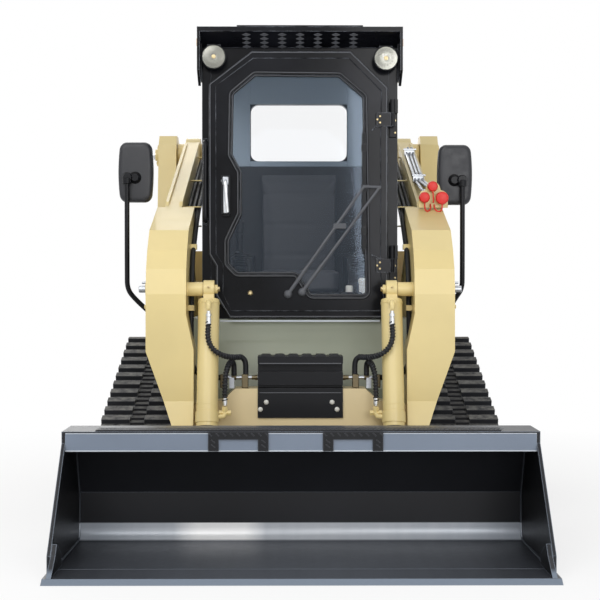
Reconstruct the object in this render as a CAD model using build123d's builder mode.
"""Compact track loader with radial lift arms, cab, rear engine and a bolt-edged bucket.

Millimetres.  +Z is up and the bucket faces -Y.  The origin is on the ground, midway
between the bucket's cutting edge and the rear door.  Stations are distances measured
back from the cutting edge, and side profiles are drawn in (station, height).
"""
import os
from math import atan2, cos, degrees, hypot, pi, radians, sin

from build123d import *

os.makedirs("parts", exist_ok=True)

# ---- driving dimensions ------------------------------------------------------------
LENGTH = 3450.0              # cutting edge to the rear door's face
RUN_GAP = 5.0                # clearance between parts that move past each other
PIN_GAP = 3.0                # side clearance of an eye between its ears
SEAT_GAP = 0.3               # clearance of a part lying against its carrier

# bucket
BUCKET_HALF = 915.0
BUCKET_DEPTH = 770.0         # cutting edge to the back of the shell
BUCKET_HEIGHT = 490.0
BUCKET_PLATE = 10.0
BUCKET_SIDE = 14.0
LIP_STATION = 430.0
LIP_DROP = 74.0
CREASE_HEIGHT = 206.0
BACK_TOP_STATION = 640.0
EDGE_DEPTH = 180.0
EDGE_THICK = 18.0
CUTTER_THICK = 18.0
HEEL_RADIUS = 60.0

# quick coupler and bucket hinge
HINGE = (870.0, 190.0)
COUPLER_HALF = 600.0
COUPLER_PLATE = 25.0
COUPLER_GAP = 0.3
EAR = 16.0
HINGE_PIN = 22.0
TILT_LEVER = 140.0
TILT_LEVER_LEAN = 15.0       # degrees forward of vertical at rest

# lift arms
ARM_PIVOT = (2650.0, 1760.0)
BEAM_INNER = 538.0
BEAM_OUTER = 615.0
LEG_INNER = 481.0
LEG_OUTER = 650.0
FOOT_INNER = 449.0
FOOT_OUTER = 540.0
PIVOT_HUB = 92.0
PIVOT_PIN = 32.0
CROSS_STATION = 965.0
CROSS_DEPTH = 130.0
CROSS_LOW = 440.0
CROSS_HIGH = 610.0

# tilt cylinders
TILT_ANCHOR = (1020.0, 1031.0)
TILT_X = 389.0
TILT_BARREL = 45.0
TILT_BARREL_END = 590.0      # open end, measured from the anchor pin
TILT_ROD = 24.0
TILT_EYE = 38.0
TILT_PIN = 19.0
TILT_EYE_WIDTH = 45.0

# lift cylinders
LIFT_ANCHOR = (2850.0, 650.0)
LIFT_EYE = (1950.0, 1350.0)
LIFT_BARREL = 36.0
LIFT_BARREL_END = 1010.0
LIFT_ROD = 22.0
LIFT_EYE_RADIUS = 40.0
LIFT_PIN = 20.0
LIFT_EYE_WIDTH = 41.0
ROD_BORE_GAP = 1.0           # rod to barrel, all round

# tracks
TRACK_INNER = 568.0
TRACK_WIDTH = 320.0
BELT = 28.0
LUG = 22.0
LUG_PITCH = 100.0
IDLER_OUT = 225.0            # idler and rear wheel to the lug tips
SPROCKET_OUT = 250.0
FRONT_IDLER = (1320.0, IDLER_OUT)
REAR_IDLER = (2725.0, IDLER_OUT)
SPROCKET = (2300.0, 525.0)
ROLLER = 70.0
ROLLER_COUNT = 5
WHEEL_GAP = 1.0

# hull, towers and cab
HULL_HALF = 500.0
HULL_PLATE = 15.0
BELLY = 230.0
NOSE_STATION = 1195.0
BULKHEAD = LENGTH - 1140.0
HULL_BACK = LENGTH - 70.0
RIM_FRONT = 1400.0            # engine bay's rim at the bulkhead and at the back
RIM_BACK = 1330.0
TIE_DOWN = (HULL_BACK - 50.0, 320.0)
TIE_DOWN_X = 330.0
TIE_DOWN_PLATE = 25.0
TIE_DOWN_HOLE = 20.0
TOWER_INNER = 664.0
TOWER_OUTER = 760.0
CAB_HALF = 440.0
CAB_WALL = 40.0
CAB_FRONT = 1335.0
CAB_BACK = BULKHEAD - 10.0
CAB_SILL = 895.0
DECK_LOW = CAB_SILL - 23.0
SEAT_HALF = 230.0
SEAT_TOP = CAB_SILL + 115.0
SEAT_BACK = CAB_BACK - 50.0
ROOF_UNDER = 2150.0
ROOF_TOP = ROOF_UNDER + 50.0
VISOR_FRONT = 1235.0
VISOR_HALF = 456.0
DOOR_FACE = 1290.0
DOOR_THICK = 38.0
DOOR_HINGE_X = 415.0
AUX_STATION = 1400.0
LINE_FEED = (1000.0, 655.0)
LINE_OUT = 335.0
LINE_BACK = 2340.0
REAR_HINGE = (-478.0, HULL_BACK + 20.0)     # x, station
HOOD_HINGE = (BULKHEAD + 18.0, RIM_FRONT + 80.0)
HOOD_HALF = 495.0
REAR_HINGE_HEIGHTS = (600.0, 1200.0)
DOOR_HINGE_HEIGHTS = (ROOF_UNDER - 363.0, CAB_SILL + 240.0)
GLASS = 6.0
REAR_WINDOW = ROOF_UNDER - 312.0   # height of its middle


BEAM_TOP_FRONT = (1300.0, 1360.0)
BEAM_TOP_BACK = (ARM_PIVOT[0] - 40.0, ARM_PIVOT[1] + 74.0)


# ---- placing -----------------------------------------------------------------------
def y_of(station):
    """Row Y of a station."""
    return station - LENGTH / 2


def side_plane(x=0.0):
    """Sketch plane across the machine at X = x, drawn in (station, height)."""
    return Plane(origin=(x, y_of(0), 0), x_dir=(0, 1, 0), z_dir=(1, 0, 0))


def front_plane(station):
    """Upright plane at a station, drawn in (x, height); it extrudes forwards."""
    return Plane(origin=(0, y_of(station), 0), x_dir=(1, 0, 0), z_dir=(0, -1, 0))


def plan_plane(height):
    """Level plane, drawn in (x, station)."""
    return Plane(origin=(0, y_of(0), height), x_dir=(1, 0, 0), z_dir=(0, 0, 1))


def beam_top(station):
    """Height of the lift beam's top face at a station."""
    rise = (BEAM_TOP_BACK[1] - BEAM_TOP_FRONT[1]) / (BEAM_TOP_BACK[0] - BEAM_TOP_FRONT[0])
    return BEAM_TOP_FRONT[1] + rise * (station - BEAM_TOP_FRONT[0])


def save(part, name):
    part.label = name
    export_step(part, f"parts/{name}.step")


def profile(points):
    """A closed side or front profile from a short list of corners."""
    Polygon(*points, align=None)


def save_pair(right, name):
    """Write the +X piece and its mirror image on the -X side."""
    save(right, f"{name}_right")
    with BuildPart() as left:
        add(mirror(right, about=Plane.YZ))
    save(left.part, f"{name}_left")


def both_sides(name, right):
    """Write one node that holds the +X piece and its mirror image."""
    with BuildPart() as pair:
        add(right)
        add(mirror(right, about=Plane.YZ))
    save(pair.part, name)


def round_bar(x0, x1, centre, radius, mode=Mode.ADD):
    """A bar across the machine from X = x0 to x1 about (station, height)."""
    with BuildSketch(side_plane(x0)) as disc:
        with Locations(centre):
            Circle(radius)
    extrude(disc.sketch, amount=x1 - x0, mode=mode)


def faceted_bar(x0, x1, centre, radius, sides):
    """A bar like round_bar with a plain many-sided outline."""
    with BuildSketch(side_plane(x0)) as disc:
        with Locations(centre):
            RegularPolygon(radius, sides)
    extrude(disc.sketch, amount=x1 - x0)


# ---- bucket ------------------------------------------------------------------------
def back_station(height):
    """Outer face of the bucket's back at a height above the crease."""
    lean = (BUCKET_DEPTH - BACK_TOP_STATION) / (BUCKET_HEIGHT - CREASE_HEIGHT)
    return BUCKET_DEPTH - lean * max(0.0, height - CREASE_HEIGHT)


def make_bucket():
    side_front = [(EDGE_DEPTH - 60, 78), (LIP_STATION + 18, 466)]
    with BuildPart() as shell:
        with BuildSketch(side_plane(-BUCKET_HALF)):
            with BuildLine():
                Polyline((EDGE_DEPTH, 0), (BUCKET_DEPTH - HEEL_RADIUS, 0))
                RadiusArc((BUCKET_DEPTH - HEEL_RADIUS, 0), (BUCKET_DEPTH, HEEL_RADIUS), -HEEL_RADIUS)
                Polyline(
                    (BUCKET_DEPTH, HEEL_RADIUS),
                    (BUCKET_DEPTH, CREASE_HEIGHT),
                    (BACK_TOP_STATION, BUCKET_HEIGHT),
                    (LIP_STATION, BUCKET_HEIGHT),
                    (LIP_STATION, BUCKET_HEIGHT - LIP_DROP),
                    (LIP_STATION + 90, BUCKET_HEIGHT - LIP_DROP),
                    (LIP_STATION + 90, BUCKET_HEIGHT - LIP_DROP + BUCKET_PLATE),
                    (LIP_STATION + 12, BUCKET_HEIGHT - LIP_DROP + BUCKET_PLATE),
                    (LIP_STATION + 12, BUCKET_HEIGHT - BUCKET_PLATE),
                    (BACK_TOP_STATION - BUCKET_PLATE, BUCKET_HEIGHT - BUCKET_PLATE),
                    (BUCKET_DEPTH - BUCKET_PLATE, CREASE_HEIGHT),
                    (BUCKET_DEPTH - BUCKET_PLATE, HEEL_RADIUS),
                )
                RadiusArc(
                    (BUCKET_DEPTH - BUCKET_PLATE, HEEL_RADIUS),
                    (BUCKET_DEPTH - HEEL_RADIUS, BUCKET_PLATE),
                    HEEL_RADIUS - BUCKET_PLATE,
                )
                Polyline(
                    (BUCKET_DEPTH - HEEL_RADIUS, BUCKET_PLATE),
                    (EDGE_DEPTH, BUCKET_PLATE),
                    (EDGE_DEPTH, 0),
                )
            make_face()
        extrude(amount=2 * BUCKET_HALF)
        for x in (-BUCKET_HALF, BUCKET_HALF - BUCKET_SIDE):
            with BuildSketch(side_plane(x)):
                with BuildLine():
                    Polyline(
                        (BUCKET_DEPTH - HEEL_RADIUS, 0),
                        (EDGE_DEPTH, 0),
                        (EDGE_DEPTH, EDGE_THICK),
                        (side_front[0][0], EDGE_THICK),
                        side_front[0],
                        side_front[1],
                        (LIP_STATION, BUCKET_HEIGHT),
                        (BACK_TOP_STATION, BUCKET_HEIGHT),
                        (BUCKET_DEPTH, CREASE_HEIGHT),
                        (BUCKET_DEPTH, HEEL_RADIUS),
                    )
                    RadiusArc(
                        (BUCKET_DEPTH, HEEL_RADIUS), (BUCKET_DEPTH - HEEL_RADIUS, 0), HEEL_RADIUS
                    )
                make_face()
            extrude(amount=BUCKET_SIDE)
    save(shell.part, "bucket_shell")

    with BuildPart() as edge:
        with BuildSketch(side_plane(-BUCKET_HALF)):
            profile([(0, 0), (EDGE_DEPTH, 0), (EDGE_DEPTH, EDGE_THICK), (26, EDGE_THICK)])
        extrude(amount=2 * BUCKET_HALF)
    save(edge.part, "cutting_edge")

    with BuildPart() as cutter:
        with BuildSketch(side_plane(BUCKET_HALF - BUCKET_SIDE - CUTTER_THICK)):
            profile([
                (30, EDGE_THICK), (250, EDGE_THICK), (250, 60), (190, 96), (150, 116),
                (side_front[0][0], 78),
            ])
        extrude(amount=CUTTER_THICK)
    both_sides("side_cutters", cutter.part)

    with BuildPart() as steps:
        with BuildSketch(front_plane(LIP_STATION)):
            for centre in (-240.0, 198.0):
                with Locations((centre, BUCKET_HEIGHT - 37)):
                    Rectangle(230, LIP_DROP)
                with Locations((centre, BUCKET_HEIGHT - LIP_DROP + 22)):
                    Rectangle(150, 44, mode=Mode.SUBTRACT)
        extrude(amount=10)
        with BuildSketch(plan_plane(BUCKET_HEIGHT)):
            with Locations((-10, LIP_STATION + 45)):
                Rectangle(1552, 84)
        extrude(amount=6)
    save(steps.part, "bucket_steps")


TILT_PIN_AT = (
    HINGE[0] - TILT_LEVER * sin(radians(TILT_LEVER_LEAN)),
    HINGE[1] + TILT_LEVER * cos(radians(TILT_LEVER_LEAN)),
)


def make_coupler():
    top = 455.0
    low = 75.0
    gap = COUPLER_GAP
    foot_gap = 8.0
    eye_half = TILT_EYE_WIDTH / 2
    ears = [
        TILT_X - eye_half - 10 - EAR,
        TILT_X + eye_half + 10,
        FOOT_OUTER + foot_gap,
    ]
    with BuildPart() as frame:
        with BuildSketch(side_plane(-COUPLER_HALF)):
            profile([
                (BUCKET_DEPTH + gap, low),
                (BUCKET_DEPTH + gap, CREASE_HEIGHT),
                (back_station(top) + gap, top),
                (back_station(top) + gap + COUPLER_PLATE, top),
                (BUCKET_DEPTH + gap + COUPLER_PLATE, CREASE_HEIGHT),
                (BUCKET_DEPTH + gap + COUPLER_PLATE, low),
            ])
        extrude(amount=2 * COUPLER_HALF)
        # the middle window and the two slots ahead of the rod eyes
        with BuildSketch(front_plane(BUCKET_DEPTH + 60)):
            with Locations((0, 265)):
                RectangleRounded(500, 250, 40)
            for x in (-TILT_X, TILT_X):
                with Locations((x, TILT_PIN_AT[1] + 20)):
                    Rectangle(TILT_EYE_WIDTH + 20, 160)
        extrude(amount=130, mode=Mode.SUBTRACT)
        for x in ears:
            for side in (1, -1):
                x0 = x if side > 0 else -x - EAR
                round_centres = [(HINGE, 46.0)]
                if x < FOOT_OUTER:
                    round_centres.append((TILT_PIN_AT, 36.0))
                with BuildSketch(side_plane(x0)):
                    for centre, radius in round_centres:
                        with Locations(centre):
                            Circle(radius)
                    with Locations((BUCKET_DEPTH + 20, 170)):
                        Rectangle(30, 170)
                    make_hull()
                extrude(amount=EAR)
        for side in (1, -1):
            pins = [
                (ears[1], ears[2] + EAR + 12, HINGE, HINGE_PIN),
                (ears[0] - 10, ears[0] + EAR, TILT_PIN_AT, TILT_PIN),
                (ears[1], ears[1] + EAR + 8, TILT_PIN_AT, TILT_PIN),
            ]
            for x0, x1, centre, radius in pins:
                low_x, high_x = sorted((side * x0, side * x1))
                round_bar(low_x, high_x, centre, radius)
    save(frame.part, "quick_coupler")


# ---- lift arms ---------------------------------------------------------------------
def make_arms():
    hinge_d, hinge_z = HINGE
    pivot_d, pivot_z = ARM_PIVOT
    with BuildPart() as arm:
        # leg and knee: a side profile trimmed by the front outline
        with BuildSketch(side_plane(FOOT_INNER)):
            with BuildLine():
                Polyline(
                    (hinge_d - 50, hinge_z + 14), (930, 560), (930, 1010), (951, 1116),
                    (998, 1197), (1082, 1285), (1215, 1330), (1420, 1403), (1460, 1214),
                    (1300, 1150), (1190, 1080), (1130, 960), (1110, 820), (1080, 620),
                    (hinge_d + 52, hinge_z - 8), (hinge_d, hinge_z - 52),
                    (hinge_d - 40, hinge_z - 34), close=True,
                )
            make_face()
        extrude(amount=LEG_OUTER - FOOT_INNER)
        with BuildSketch(front_plane(hinge_d + 640)):
            profile([
                (FOOT_INNER, 100), (FOOT_INNER, 775), (LEG_INNER, 927), (LEG_INNER, 1500),
                (LEG_OUTER, 1500), (LEG_OUTER, 769), (FOOT_OUTER, 464), (FOOT_OUTER, 100),
            ])
        extrude(amount=800, mode=Mode.INTERSECT)
        # beam back to the pivot
        with BuildSketch(side_plane(BEAM_INNER)):
            profile([
                BEAM_TOP_FRONT, BEAM_TOP_BACK, (pivot_d + 10, pivot_z + 80),
                (pivot_d + 30, pivot_z - 80), (pivot_d - 40, pivot_z - 86), (1300, 1150),
            ])
            with Locations(ARM_PIVOT):
                Circle(PIVOT_HUB)
        extrude(amount=BEAM_OUTER - BEAM_INNER)
        # side plates that stand proud of the beam's top
        for x0 in (BEAM_INNER, BEAM_OUTER - 14):
            with BuildSketch(side_plane(x0)):
                profile([
                    (1430, beam_top(1430) - 10), (1460, beam_top(1460) + 14),
                    (2520, beam_top(2520) + 14), (2550, beam_top(2550) - 10),
                ])
            extrude(amount=14)
        # pivot hub and the lift lugs
        round_bar(HULL_HALF + 20, TOWER_INNER - PIN_GAP, ARM_PIVOT, 62)
        for x0 in (BEAM_INNER, BEAM_OUTER - 15):
            with BuildSketch(side_plane(x0)):
                with Locations(LIFT_EYE):
                    Circle(45)
                with Locations((LIFT_EYE[0] + 30, LIFT_EYE[1] + 90)):
                    Rectangle(180, 40)
                make_hull()
            extrude(amount=15)
        # bores of the hinge pin and the pivot pin
        round_bar(FOOT_INNER - 10, FOOT_OUTER + 10, HINGE, HINGE_PIN + 0.5, Mode.SUBTRACT)
        round_bar(HULL_HALF, TOWER_INNER, ARM_PIVOT, PIVOT_PIN + 0.5, Mode.SUBTRACT)
        # tilt anchor pin with its boss
        round_bar(TILT_X + TILT_EYE_WIDTH / 2 + PIN_GAP, LEG_INNER, TILT_ANCHOR, 30)
        round_bar(TILT_X - TILT_EYE_WIDTH / 2 - 14, LEG_INNER, TILT_ANCHOR, TILT_PIN)
    save_pair(arm.part, "lift_arm")

    with BuildPart() as cross:
        with BuildSketch(front_plane(CROSS_STATION + CROSS_DEPTH)):
            profile([
                (-FOOT_INNER, CROSS_LOW), (FOOT_INNER, CROSS_LOW), (FOOT_INNER, 540),
                (330, 560), (275, CROSS_HIGH), (-275, CROSS_HIGH), (-330, 560),
                (-FOOT_INNER, 540),
            ])
        extrude(amount=CROSS_DEPTH)
    save(cross.part, "arm_cross_member")

    with BuildPart() as step:
        with BuildSketch(side_plane(-180)):
            front = CROSS_STATION
            profile([
                (front, 487), (front, CROSS_HIGH), (front + 110, CROSS_HIGH), (front + 110, 748),
                (front - 20, 748), (front - 20, 718), (front + 25, 718), (front + 25, 682),
                (front - 3, 682), (front - 3, 627), (front + 25, 627),
                (front + 25, CROSS_HIGH + 5), (front - 5, CROSS_HIGH + 2), (front - 5, 594),
                (front - 8, 594), (front - 8, 487),
            ])
        extrude(amount=360)
    save(step.part, "step_box")


# ---- hydraulic cylinders -----------------------------------------------------------
def ram_plane(x, start, end):
    """Plane on the start pin whose normal runs along the cylinder to the end pin."""
    run = hypot(end[0] - start[0], end[1] - start[1])
    return Plane(
        origin=(x, y_of(start[0]), start[1]),
        x_dir=(1, 0, 0),
        z_dir=(0, (end[0] - start[0]) / run, (end[1] - start[1]) / run),
    )


def make_ram(name, x, start, end, barrel, barrel_end, rod, eye, pin, width, tail):
    """A barrel with its base eye, and a rod with its eye and the pin through it."""
    run = hypot(end[0] - start[0], end[1] - start[1])
    place = ram_plane(x, start, end)
    across = Plane(origin=place.origin, x_dir=place.z_dir, z_dir=(1, 0, 0))
    tip = Plane(origin=place.origin + place.z_dir * run, x_dir=place.z_dir, z_dir=(1, 0, 0))
    bore_start = eye + 24
    with BuildPart() as tube:
        with BuildSketch(across.offset(-width / 2)):
            Circle(eye)
            with Locations((bore_start / 2, 0)):
                Rectangle(bore_start, eye * 1.3)
        extrude(amount=width)
        with BuildSketch(place.offset(bore_start - 14)):
            Circle(barrel)
        extrude(amount=barrel_end - bore_start + 14)
        with BuildSketch(place.offset(barrel_end - 60)):
            Circle(barrel + 4)
        extrude(amount=44)
        with BuildSketch(place.offset(bore_start)):
            Circle(rod + ROD_BORE_GAP)
        extrude(amount=barrel_end - bore_start, mode=Mode.SUBTRACT)
        with BuildSketch(across.offset(-width / 2)):
            Circle(pin + 0.5)
        extrude(amount=width, mode=Mode.SUBTRACT)
    save_pair(tube.part, f"{name}_barrel")
    with BuildPart() as shaft:
        with BuildSketch(place.offset(bore_start + tail)):
            Circle(rod)
        extrude(amount=run - bore_start - tail - eye * 0.6)
        with BuildSketch(tip.offset(-width / 2)):
            Circle(eye - 2)
        extrude(amount=width)
        with BuildSketch(tip.offset(-width / 2)):
            Circle(pin)
        extrude(amount=width)
    save_pair(shaft.part, f"{name}_rod")


# ---- tracks and running gear -------------------------------------------------------
def loop_outline(inset):
    """Tight loop round the two idlers and the sprocket, inset from the lug tips."""
    with BuildSketch() as loop:
        for centre, radius in (
            (FRONT_IDLER, IDLER_OUT), (REAR_IDLER, IDLER_OUT), (SPROCKET, SPROCKET_OUT),
        ):
            with Locations(centre):
                Circle(radius - inset)
        make_hull()
    return loop.sketch


def make_tracks():
    belt_face = loop_outline(LUG).faces()[0]
    path = belt_face.outer_wire()
    count = round(path.length / LUG_PITCH)
    with BuildPart() as track:
        with BuildSketch(side_plane(TRACK_INNER)):
            add(belt_face)
            add(loop_outline(LUG + BELT), mode=Mode.SUBTRACT)
        extrude(amount=TRACK_WIDTH)
        for strip_x, strip_width in ((TRACK_INNER, 128.0), (TRACK_INNER + 192.0, 128.0)):
            with BuildSketch(side_plane(strip_x)):
                for index in range(count):
                    at = path.position_at((index + 0.5) / count)
                    along = path.tangent_at((index + 0.5) / count)
                    turn = degrees(atan2(along.Y, along.X))
                    outward = Vector(along.Y, -along.X, 0)
                    middle = at + outward * (LUG / 2 - 4)
                    if belt_face.is_inside(middle):
                        middle = at - outward * (LUG / 2 - 4)
                    with Locations(Location((middle.X, middle.Y, 0), (0, 0, turn))):
                        Rectangle(46, LUG + 8)
                add(loop_outline(0.0), mode=Mode.INTERSECT)
            extrude(amount=strip_width)
    save_pair(track.part, "track")


def make_running_gear():
    mid = TRACK_INNER + TRACK_WIDTH / 2
    wheel_in = LUG + BELT + WHEEL_GAP
    bottom = wheel_in + ROLLER
    start = FRONT_IDLER[0] + IDLER_OUT - wheel_in + ROLLER + 8
    span = REAR_IDLER[0] - FRONT_IDLER[0] - 2 * (IDLER_OUT - wheel_in + ROLLER + 8)
    # centre, radius, axle radius, sides
    rows = [(centre, IDLER_OUT - wheel_in, 46, 36) for centre in (FRONT_IDLER, REAR_IDLER)]
    rows += [
        ((start + span * index / (ROLLER_COUNT - 1), bottom), ROLLER, 24, 20)
        for index in range(ROLLER_COUNT)
    ]
    with BuildPart() as wheels:
        for centre, radius, axle, sides in rows:
            faceted_bar(mid - 90, mid - 44, centre, radius, sides)
            faceted_bar(mid + 44, mid + 90, centre, radius, sides)
            faceted_bar(mid - 90, mid + 90, centre, axle, 12)
    both_sides("track_wheels", wheels.part)

    teeth = 14
    root, tip = SPROCKET_OUT - wheel_in - 24, SPROCKET_OUT - wheel_in - 3
    with BuildPart() as sprocket:
        with BuildSketch(side_plane(mid - 14)):
            toothed = []
            for index in range(teeth):
                for shift, radius in ((-0.32, root), (-0.14, tip), (0.14, tip), (0.32, root)):
                    turn = 2 * pi * (index + shift) / teeth
                    toothed.append((SPROCKET[0] + radius * cos(turn), SPROCKET[1] + radius * sin(turn)))
            profile(toothed)
        extrude(amount=28)
        faceted_bar(HULL_HALF, mid, SPROCKET, 95, 24)
        faceted_bar(mid, mid + 40, SPROCKET, 80, 24)
    both_sides("drive_sprockets", sprocket.part)

    with BuildPart() as frame:
        with BuildSketch(side_plane(mid - 40)):
            profile([
                (FRONT_IDLER[0] - 20, 205), (REAR_IDLER[0] + 20, 205),
                (REAR_IDLER[0] + 20, 250), (2540, 330), (1520, 330), (FRONT_IDLER[0] - 20, 250),
            ])
        extrude(amount=80)
        for centre in (FRONT_IDLER, REAR_IDLER):
            round_bar(mid - 40, mid + 40, centre, 47, Mode.SUBTRACT)
        for station in (1640, 2480):
            round_bar(HULL_HALF, mid - 40, (station, 275), 42)
    both_sides("track_frames", frame.part)


# ---- hull, towers, engine ----------------------------------------------------------
def hull_top(station):
    """Height of the engine bay's rim at a station."""
    return RIM_FRONT - (RIM_FRONT - RIM_BACK) * (station - BULKHEAD) / (HULL_BACK - BULKHEAD)


def make_hull_parts():
    deck_top = CAB_SILL - SEAT_GAP
    inner = HULL_HALF - HULL_PLATE - SEAT_GAP
    with BuildPart() as side:
        with BuildSketch(side_plane(HULL_HALF - HULL_PLATE)):
            profile([
                (NOSE_STATION + 60, BELLY), (HULL_BACK - 230, BELLY), (HULL_BACK, BELLY + 220),
                (HULL_BACK, RIM_BACK), (BULKHEAD, RIM_FRONT), (BULKHEAD, deck_top),
                (CAB_FRONT, deck_top), (NOSE_STATION, CAB_SILL - 305), (NOSE_STATION, 330),
            ])
        extrude(amount=HULL_PLATE)
    both_sides("hull_sides", side.part)
    with BuildPart() as nose:
        with BuildSketch(side_plane(-inner)):
            profile([
                (CAB_FRONT, deck_top), (NOSE_STATION, CAB_SILL - 305), (NOSE_STATION, 330),
                (NOSE_STATION + 60, BELLY), (NOSE_STATION + 75, BELLY + HULL_PLATE),
                (NOSE_STATION + 16, 333), (NOSE_STATION + 16, CAB_SILL - 308), (CAB_FRONT + 16, deck_top),
            ])
        extrude(amount=2 * inner)
    save(nose.part, "nose_plate")
    with BuildPart() as belly:
        with BuildSketch(side_plane(-inner)):
            profile([
                (NOSE_STATION + 60.4, BELLY), (HULL_BACK - 230, BELLY), (HULL_BACK, BELLY + 220),
                (HULL_BACK, BELLY + 240), (HULL_BACK - 15, BELLY + 240),
                (HULL_BACK - 15, BELLY + 227), (HULL_BACK - 236, BELLY + HULL_PLATE),
                (NOSE_STATION + 75.4, BELLY + HULL_PLATE),
            ])
        extrude(amount=2 * inner)
        # rear tie-down lugs under the belly's slope
        slope_d, slope_z = TIE_DOWN[0] - 100, BELLY + 82
        for x0 in (TIE_DOWN_X - TIE_DOWN_PLATE / 2, -TIE_DOWN_X - TIE_DOWN_PLATE / 2):
            with BuildSketch(side_plane(x0)):
                with Locations(TIE_DOWN):
                    Circle(42)
                Polygon(
                    (slope_d, slope_z), (TIE_DOWN[0], slope_z + 96),
                    (TIE_DOWN[0] + 10, slope_z + 78), (slope_d + 10, slope_z - 18), align=None,
                )
                make_hull()
                with Locations(TIE_DOWN):
                    Circle(TIE_DOWN_HOLE, mode=Mode.SUBTRACT)
            extrude(amount=TIE_DOWN_PLATE)
    save(belly.part, "belly_plate")
    with BuildPart() as deck:
        with BuildSketch(plan_plane(DECK_LOW)):
            with Locations((0, (CAB_FRONT + 17 + BULKHEAD - SEAT_GAP) / 2)):
                Rectangle(2 * inner, BULKHEAD - SEAT_GAP - CAB_FRONT - 17)
            with Locations((0, (CAB_FRONT + CAB_BACK) / 2)):
                Rectangle(
                    2 * (CAB_HALF - CAB_WALL), CAB_BACK - CAB_FRONT - 2 * CAB_WALL,
                    mode=Mode.SUBTRACT,
                )
        extrude(amount=deck_top - DECK_LOW)
        with BuildSketch(front_plane(BULKHEAD + HULL_PLATE)):
            low = BELLY + HULL_PLATE + SEAT_GAP
            with Locations((0, (low + RIM_FRONT - 2) / 2)):
                Rectangle(2 * inner, RIM_FRONT - 2 - low)
        extrude(amount=HULL_PLATE)
    save(deck.part, "deck_and_bulkhead")

    pivot_d, pivot_z = ARM_PIVOT
    with BuildPart() as tower:
        with BuildSketch(side_plane(TOWER_INNER)):
            with BuildLine():
                Polyline(
                    (2150, 830), (2470, 830), (2960, 520), (3120, 520), (3120, 900),
                    (pivot_d + 130, 1600), (pivot_d + 88, pivot_z + 60),
                    (pivot_d + 40, pivot_z + 100), (pivot_d - 50, pivot_z + 100),
                    (pivot_d - 96, pivot_z + 50), (2480, 1400), (2150, 960), close=True,
                )
            make_face()
        extrude(amount=TOWER_OUTER - TOWER_INNER)
        # inner plate beside the engine bay, and the webs that join the two
        with BuildSketch(side_plane(HULL_HALF)):
            with BuildLine():
                Polyline(
                    (2420, 860), (2960, 860), (2960, 1200), (pivot_d + 110, 1600),
                    (pivot_d + 60, pivot_z + 80), (pivot_d - 60, pivot_z + 80),
                    (pivot_d - 110, 1600), (2420, 1200), close=True,
                )
            make_face()
        extrude(amount=15)
        with BuildSketch(side_plane(HULL_HALF)):
            profile([(3000, 520), (3020, 520), (3020, 1240), (3000, 1240)])
            profile([(2150, 830), (2330, 830), (2330, 850), (2150, 850)])
        extrude(amount=TOWER_INNER - HULL_HALF)
        # base lugs and pin of the lift cylinder
        for x0 in (HULL_HALF, BEAM_OUTER + 5):
            with BuildSketch(side_plane(x0)):
                with Locations(LIFT_ANCHOR):
                    Circle(52)
                with Locations((3000, 640)):
                    Rectangle(20, 180)
                make_hull()
            extrude(amount=20)
        round_bar(HULL_HALF, BEAM_OUTER + 30, LIFT_ANCHOR, LIFT_PIN)
        # arm pivot pin with its collar outside
        round_bar(HULL_HALF, TOWER_OUTER + 26, ARM_PIVOT, PIVOT_PIN)
        round_bar(TOWER_OUTER, TOWER_OUTER + 12, ARM_PIVOT, 56)
    both_sides("towers", tower.part)

    with BuildPart() as engine:
        with BuildSketch(plan_plane(420)):
            with Locations((0, HULL_BACK - 620)):
                Rectangle(520, 640)
        extrude(amount=620)
        with BuildSketch(plan_plane(BELLY + 15)):
            with GridLocations(420, 500, 2, 2):
                with Locations((0, HULL_BACK - 620)):
                    Rectangle(60, 60)
        extrude(amount=420 - BELLY - 15)
    save(engine.part, "engine_block")

    with BuildPart() as hood:
        with BuildSketch(side_plane(-HOOD_HALF)):
            profile([
                (BULKHEAD + 35, hull_top(BULKHEAD + 35) + SEAT_GAP),
                (HULL_BACK - 10, hull_top(HULL_BACK - 10) + SEAT_GAP),
                (HULL_BACK - 10, RIM_BACK + 20), (HULL_BACK - 40, RIM_BACK + 90),
                (BULKHEAD + 45, RIM_FRONT + 100), (BULKHEAD + 35, RIM_FRONT + 90),
            ])
        extrude(amount=2 * HOOD_HALF)
        with BuildSketch(side_plane(-HULL_HALF + HULL_PLATE)):
            profile([
                (BULKHEAD + 43, RIM_FRONT - 20), (HULL_BACK - 18, RIM_BACK - 10),
                (HULL_BACK - 18, RIM_BACK + 18), (HULL_BACK - 45, RIM_BACK + 81),
                (BULKHEAD + 49, RIM_FRONT + 91),
            ])
        extrude(amount=2 * (HULL_HALF - HULL_PLATE), mode=Mode.SUBTRACT)
        for x0 in (-370, 330):
            round_bar(x0, x0 + 40, HOOD_HINGE, 10)
            with BuildSketch(side_plane(x0)):
                with Locations((HOOD_HINGE[0] + 11, HOOD_HINGE[1])):
                    Rectangle(22, 12)
            extrude(amount=40)
    save(hood.part, "engine_hood")

    with BuildPart() as door:
        with BuildSketch(front_plane(LENGTH)):
            with Locations((0, 890)):
                RectangleRounded(930, 860, 60)
        extrude(amount=65)
        with BuildSketch(front_plane(LENGTH)):
            with Locations((0, 940)):
                with GridLocations(0, 44, 1, 12):
                    Rectangle(560, 22)
        extrude(amount=65, mode=Mode.SUBTRACT)
        hinge_x, hinge_d = REAR_HINGE
        for height in REAR_HINGE_HEIGHTS:
            with BuildSketch(plan_plane(height)):
                with Locations(REAR_HINGE):
                    Circle(11)
                with Locations((hinge_x + 16, hinge_d)):
                    Rectangle(32, 10)
            extrude(amount=40)
    save(door.part, "rear_door")


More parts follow.
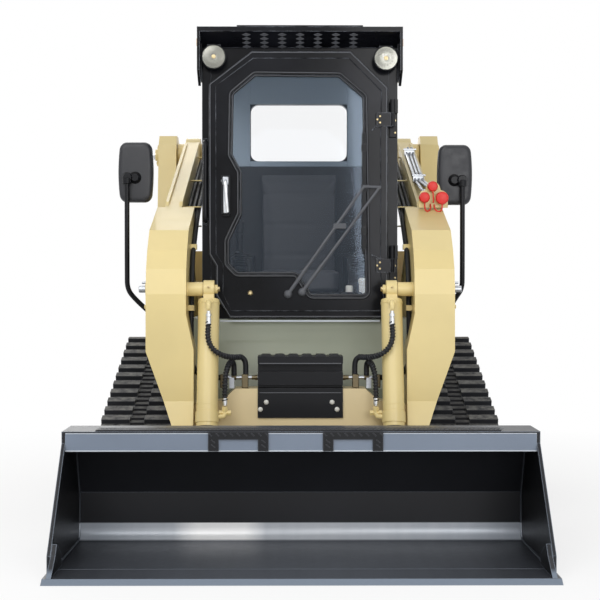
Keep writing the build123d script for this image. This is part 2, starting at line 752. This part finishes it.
def make_hinge_leaves():
    """The fixed halves of the hinges of the hood, the rear door and the cab door."""
    hinge_x, hinge_d = REAR_HINGE
    with BuildPart() as leaves:
        for x0 in (-401, 371):
            with BuildSketch(side_plane(x0)):
                with Locations(HOOD_HINGE):
                    Circle(10)
                profile([
                    (BULKHEAD + 1, RIM_FRONT - 2 + SEAT_GAP), (BULKHEAD + 15, RIM_FRONT - 2 + SEAT_GAP),
                    (HOOD_HINGE[0] + 8, HOOD_HINGE[1]), (HOOD_HINGE[0] - 8, HOOD_HINGE[1]),
                ])
            extrude(amount=30)
        for height in REAR_HINGE_HEIGHTS:
            with BuildSketch(plan_plane(height + 40 + SEAT_GAP)):
                with Locations(REAR_HINGE):
                    Circle(11)
                with Locations((hinge_x - 11, (hinge_d + HULL_BACK + SEAT_GAP) / 2)):
                    Rectangle(16, hinge_d - HULL_BACK - SEAT_GAP)
            extrude(amount=40)
        for height in DOOR_HINGE_HEIGHTS:
            with BuildSketch(plan_plane(height + 30 + SEAT_GAP)):
                with Locations((DOOR_HINGE_X, DOOR_FACE - 2)):
                    Circle(11)
                with Locations((DOOR_HINGE_X + 12, (DOOR_FACE - 6 + CAB_FRONT - SEAT_GAP) / 2)):
                    Rectangle(22, CAB_FRONT - SEAT_GAP - DOOR_FACE + 6)
            extrude(amount=60)
    save(leaves.part, "hinge_leaves")


# ---- cab ---------------------------------------------------------------------------
def make_cab():
    window_low, window_high = CAB_SILL + 405, ROOF_UNDER - 90
    between = CAB_HALF - CAB_WALL - SEAT_GAP
    middle = (CAB_SILL + ROOF_UNDER) / 2
    with BuildPart() as cab:
        # two side frames, each with its window
        for x in (-CAB_HALF, CAB_HALF - CAB_WALL):
            with BuildSketch(side_plane(x)):
                with Locations(((CAB_FRONT + CAB_BACK) / 2, middle)):
                    Rectangle(CAB_BACK - CAB_FRONT, ROOF_UNDER - CAB_SILL)
                with Locations(((CAB_FRONT + CAB_BACK) / 2, (window_low + window_high) / 2)):
                    RectangleRounded(
                        CAB_BACK - CAB_FRONT - 180, window_high - window_low, 50, mode=Mode.SUBTRACT
                    )
            extrude(amount=CAB_WALL)
        # the front frame round the door and the back frame round the rear window
        with BuildSketch(front_plane(CAB_FRONT + CAB_WALL)):
            with Locations((0, middle)):
                Rectangle(2 * between, ROOF_UNDER - CAB_SILL)
            Polygon(*door_outline(25), align=None, mode=Mode.SUBTRACT)
        extrude(amount=CAB_WALL)
        with BuildSketch(front_plane(CAB_BACK)):
            with Locations((0, middle)):
                Rectangle(2 * between, ROOF_UNDER - CAB_SILL)
            with Locations((0, REAR_WINDOW)):
                RectangleRounded(500, 294, 40, mode=Mode.SUBTRACT)
        extrude(amount=CAB_WALL)
    save(cab.part, "cab_frame")

    with BuildPart() as roof:
        with BuildSketch(side_plane(-VISOR_HALF)):
            profile([
                (VISOR_FRONT, ROOF_TOP - 30), (CAB_FRONT - 8, ROOF_UNDER - 36),
                (CAB_FRONT - 8, ROOF_UNDER), (CAB_BACK, ROOF_UNDER), (CAB_BACK, ROOF_TOP - 24),
                (CAB_BACK - 40, ROOF_TOP - 9), (VISOR_FRONT, ROOF_TOP - 9),
            ])
        extrude(amount=2 * VISOR_HALF)
        for x in (-VISOR_HALF, VISOR_HALF - 12):
            with BuildSketch(side_plane(x)):
                profile([
                    (VISOR_FRONT, ROOF_TOP - 9), (VISOR_FRONT, ROOF_TOP - 200),
                    (CAB_FRONT - 8, ROOF_UNDER - 208), (CAB_FRONT - 8, ROOF_TOP - 9),
                ])
            extrude(amount=12)
        # raised panel along the middle
        with BuildSketch(side_plane(-280)):
            profile([
                (VISOR_FRONT + 15, ROOF_TOP - 12), (CAB_BACK - 70, ROOF_TOP - 12),
                (CAB_BACK - 70, ROOF_TOP), (VISOR_FRONT + 15, ROOF_TOP),
            ])
        extrude(amount=560)
    save(roof.part, "cab_roof")

    with BuildPart() as panes:
        for x in (-CAB_HALF + 15, CAB_HALF - 15 - GLASS):
            with BuildSketch(side_plane(x)):
                with Locations(((CAB_FRONT + CAB_BACK) / 2, (window_low + window_high) / 2)):
                    RectangleRounded(
                        CAB_BACK - CAB_FRONT - 181, window_high - window_low - 1, 49.5
                    )
            extrude(amount=GLASS)
        with BuildSketch(front_plane(CAB_BACK - 10)):
            with Locations((0, REAR_WINDOW)):
                RectangleRounded(499, 293, 39.5)
        extrude(amount=GLASS)
    save(panes.part, "cab_glass")

    with BuildPart() as base:
        with BuildSketch(side_plane(-SEAT_HALF)):
            profile([
                (SEAT_BACK - 590, BELLY + HULL_PLATE + SEAT_GAP),
                (SEAT_BACK, BELLY + HULL_PLATE + SEAT_GAP), (SEAT_BACK, SEAT_TOP),
                (SEAT_BACK - 550, SEAT_TOP),
            ])
        extrude(amount=2 * SEAT_HALF)
    save(base.part, "seat_base")
    with BuildPart() as cushion:
        with BuildSketch(plan_plane(SEAT_TOP + SEAT_GAP)):
            with Locations((0, SEAT_BACK - 330)):
                RectangleRounded(440, 440, 60)
        extrude(amount=110)
    save(cushion.part, "seat_cushion")
    with BuildPart() as back:
        with BuildSketch(side_plane(-210)):
            profile([
                (SEAT_BACK - 104, SEAT_TOP + SEAT_GAP), (SEAT_BACK, SEAT_TOP + SEAT_GAP),
                (SEAT_BACK, SEAT_TOP + 600), (SEAT_BACK - 60, SEAT_TOP + 630),
                (SEAT_BACK - 104, SEAT_TOP + 590),
            ])
        extrude(amount=420)
    save(back.part, "seat_back")
    with BuildPart() as pod:
        with BuildSketch(side_plane(SEAT_HALF + SEAT_GAP)):
            profile([
                (SEAT_BACK - 650, SEAT_TOP - 80), (SEAT_BACK + 10 - SEAT_GAP, SEAT_TOP - 80),
                (SEAT_BACK + 10 - SEAT_GAP, SEAT_TOP + 190), (SEAT_BACK - 490, SEAT_TOP + 170),
                (SEAT_BACK - 610, SEAT_TOP + 100), (SEAT_BACK - 650, SEAT_TOP + 50),
            ])
        extrude(amount=100)
        with BuildSketch(plan_plane(SEAT_TOP + 100)):
            with Locations((285, SEAT_BACK - 570)):
                Circle(44)
        extrude(amount=90, taper=12)
        with BuildSketch(plan_plane(SEAT_TOP + 180)):
            with Locations((285, SEAT_BACK - 570)):
                Circle(17)
        extrude(amount=160)
    both_sides("control_pods", pod.part)

    with BuildPart() as lamp:
        with BuildSketch(front_plane(CAB_FRONT - SEAT_GAP)):
            with Locations((384, ROOF_UNDER - 90)):
                Circle(50)
        extrude(amount=68)
    both_sides("work_lamps", lamp.part)


def door_outline(inset=0.0):
    """Cab door's outline in (x, height), narrowed all round by inset."""
    i = inset
    low, high = CAB_SILL + 8, ROOF_UNDER - 60
    return [
        (-405 + i, low + 284), (-405 + i, high - 146 - i / 2), (-215 + i / 2, high - i),
        (226 - i / 2, high - i), (391 - i, high - 160 - i / 2), (391 - i, low + i), (-312, low + i),
        (-373 + i, low + 99), (-373 + i, low + 230),
    ]


# corners of the pane in x, with heights from the sill or down from the roof
GLASS_OUTLINE = [
    (-202, ROOF_UNDER - 161), (177, ROOF_UNDER - 165), (289, ROOF_UNDER - 260),
    (303, CAB_SILL + 103), (46, CAB_SILL + 103), (-17, CAB_SILL + 202), (-283, CAB_SILL + 202),
    (-326, CAB_SILL + 247), (-326, CAB_SILL + 351), (-269, CAB_SILL + 472),
    (-269, CAB_SILL + 657), (-310, CAB_SILL + 734), (-305, ROOF_UNDER - 247),
]


def make_door():
    with BuildPart() as frame:
        with BuildSketch(front_plane(DOOR_FACE + DOOR_THICK)):
            profile(door_outline())
            with BuildSketch(mode=Mode.PRIVATE) as opening:
                with BuildLine():
                    FilletPolyline(*GLASS_OUTLINE, radius=24, close=True)
                make_face()
            add(opening.sketch, mode=Mode.SUBTRACT)
        extrude(amount=DOOR_THICK)
        # hinge knuckles
        for height in DOOR_HINGE_HEIGHTS:
            with BuildSketch(plan_plane(height - 30)):
                with Locations((DOOR_HINGE_X, DOOR_FACE - 2)):
                    Circle(11)
                with Locations((DOOR_HINGE_X - 35, DOOR_FACE - 4)):
                    Rectangle(70, 8)
            extrude(amount=60)
    save(frame.part, "door_frame")
    with BuildPart() as pane:
        with BuildSketch(front_plane(DOOR_FACE + 20)):
            with BuildLine():
                FilletPolyline(*GLASS_OUTLINE, radius=24, close=True)
            make_face()
            offset(amount=-SEAT_GAP, mode=Mode.REPLACE)
        extrude(amount=GLASS)
    save(pane.part, "door_glass")
    with BuildPart() as latch:
        with BuildSketch(front_plane(DOOR_FACE)):
            with Locations((-330, CAB_SILL + 555)):
                Rectangle(38, 170)
        extrude(amount=30)
    save(latch.part, "door_latch")


# ---- mirrors, couplers -------------------------------------------------------------
def make_mirrors():
    foot = DECK_LOW
    top = CAB_SILL + 655
    with BuildPart() as pair:
        # side, X of the tube, X of the head's middle
        for side, tube_x, head_x in ((-1, 797, 761), (1, 753, 722)):
            with BuildSketch(front_plane(1540)):
                with Locations((side * head_x, CAB_SILL + 676)):
                    RectangleRounded(160, 280, 34)
            extrude(amount=40)
            with BuildLine() as route:
                FilletPolyline(
                    (side * HULL_HALF, y_of(1560), foot), (side * 640, y_of(1560), foot),
                    (side * tube_x, y_of(1560), foot + 130), (side * tube_x, y_of(1560), top),
                    radius=60,
                )
            with BuildSketch(Plane(
                origin=(side * HULL_HALF, y_of(1560), foot), z_dir=(side, 0, 0)
            )):
                RegularPolygon(10.5, 12)
            sweep(path=route.wire())
            with BuildSketch(plan_plane(CAB_SILL + 625)):
                with Locations((side * tube_x, 1550)):
                    Rectangle(26, 40)
            extrude(amount=40)
    save(pair.part, "mirrors")


def make_aux_couplers():
    with BuildPart() as block:
        foot = beam_top(AUX_STATION) + SEAT_GAP
        with BuildSketch(front_plane(AUX_STATION)):
            with Locations((BEAM_OUTER - 10, (foot + 1535) / 2)):
                Rectangle(136, 1535 - foot)
        extrude(amount=14)
        for x, height in ((-6, 1512), (-42, 1462), (34, 1458)):
            with BuildSketch(front_plane(AUX_STATION - 14)):
                with Locations((BEAM_OUTER - 10 + x, height)):
                    Circle(22)
            extrude(amount=50)
    save(block.part, "aux_couplers")


def make_hydraulic_lines():
    """Steel tubes on the arms: feeds of the tilt cylinders, and the auxiliary lines."""
    with BuildPart() as lines:
        for x0 in (-LINE_OUT, 180 + SEAT_GAP):
            round_bar(x0, x0 + LINE_OUT - 180 - SEAT_GAP, LINE_FEED, 8)
            for x in (LINE_OUT - 8, LINE_OUT - 100):
                at = x if x0 > 0 else -x
                with BuildSketch(side_plane(at - 8)):
                    with Locations((LINE_FEED[0], LINE_FEED[1] - 10)):
                        Rectangle(26, 46)
                extrude(amount=16)
            with BuildSketch(side_plane(LINE_OUT - 54 if x0 > 0 else -LINE_OUT + 34)):
                with Locations((LINE_FEED[0], (LINE_FEED[1] + CROSS_HIGH) / 2)):
                    Rectangle(24, LINE_FEED[1] - CROSS_HIGH - 2 * SEAT_GAP)
            extrude(amount=20)
        for index, (x_front, z_front) in enumerate(((571, 1478), (593, 1498), (629, 1478))):
            x_back = BEAM_INNER + 24 + 17 * index
            rise = beam_top(1760) + 26
            with BuildLine() as route:
                FilletPolyline(
                    (x_front, y_of(AUX_STATION + SEAT_GAP), z_front),
                    (x_front, y_of(AUX_STATION + 70), z_front),
                    (x_back, y_of(1760), rise),
                    (x_back, y_of(LINE_BACK), beam_top(LINE_BACK) + 26),
                    radius=45,
                )
            with BuildSketch(Plane(
                origin=(x_front, y_of(AUX_STATION + SEAT_GAP), z_front), z_dir=(0, 1, 0)
            )):
                RegularPolygon(7, 8)
            sweep(path=route.wire())
        for station in (1800, LINE_BACK - 60):
            with BuildSketch(front_plane(station)):
                with Locations(((BEAM_INNER + BEAM_OUTER) / 2, beam_top(station) + 20)):
                    Rectangle(BEAM_OUTER - BEAM_INNER - 29, 28)
            extrude(amount=24)
    save(lines.part, "hydraulic_lines")


make_bucket()
make_coupler()
make_arms()
make_ram("tilt", TILT_X, TILT_ANCHOR, TILT_PIN_AT, TILT_BARREL, TILT_BARREL_END, TILT_ROD,
         TILT_EYE, TILT_PIN, TILT_EYE_WIDTH, 60)
make_ram("lift", (BEAM_INNER + BEAM_OUTER) / 2, LIFT_ANCHOR, LIFT_EYE, LIFT_BARREL,
         LIFT_BARREL_END, LIFT_ROD, LIFT_EYE_RADIUS, LIFT_PIN, LIFT_EYE_WIDTH, 10)
make_tracks()
make_running_gear()
make_hull_parts()
make_hinge_leaves()
make_cab()
make_door()
make_mirrors()
make_aux_couplers()
make_hydraulic_lines()
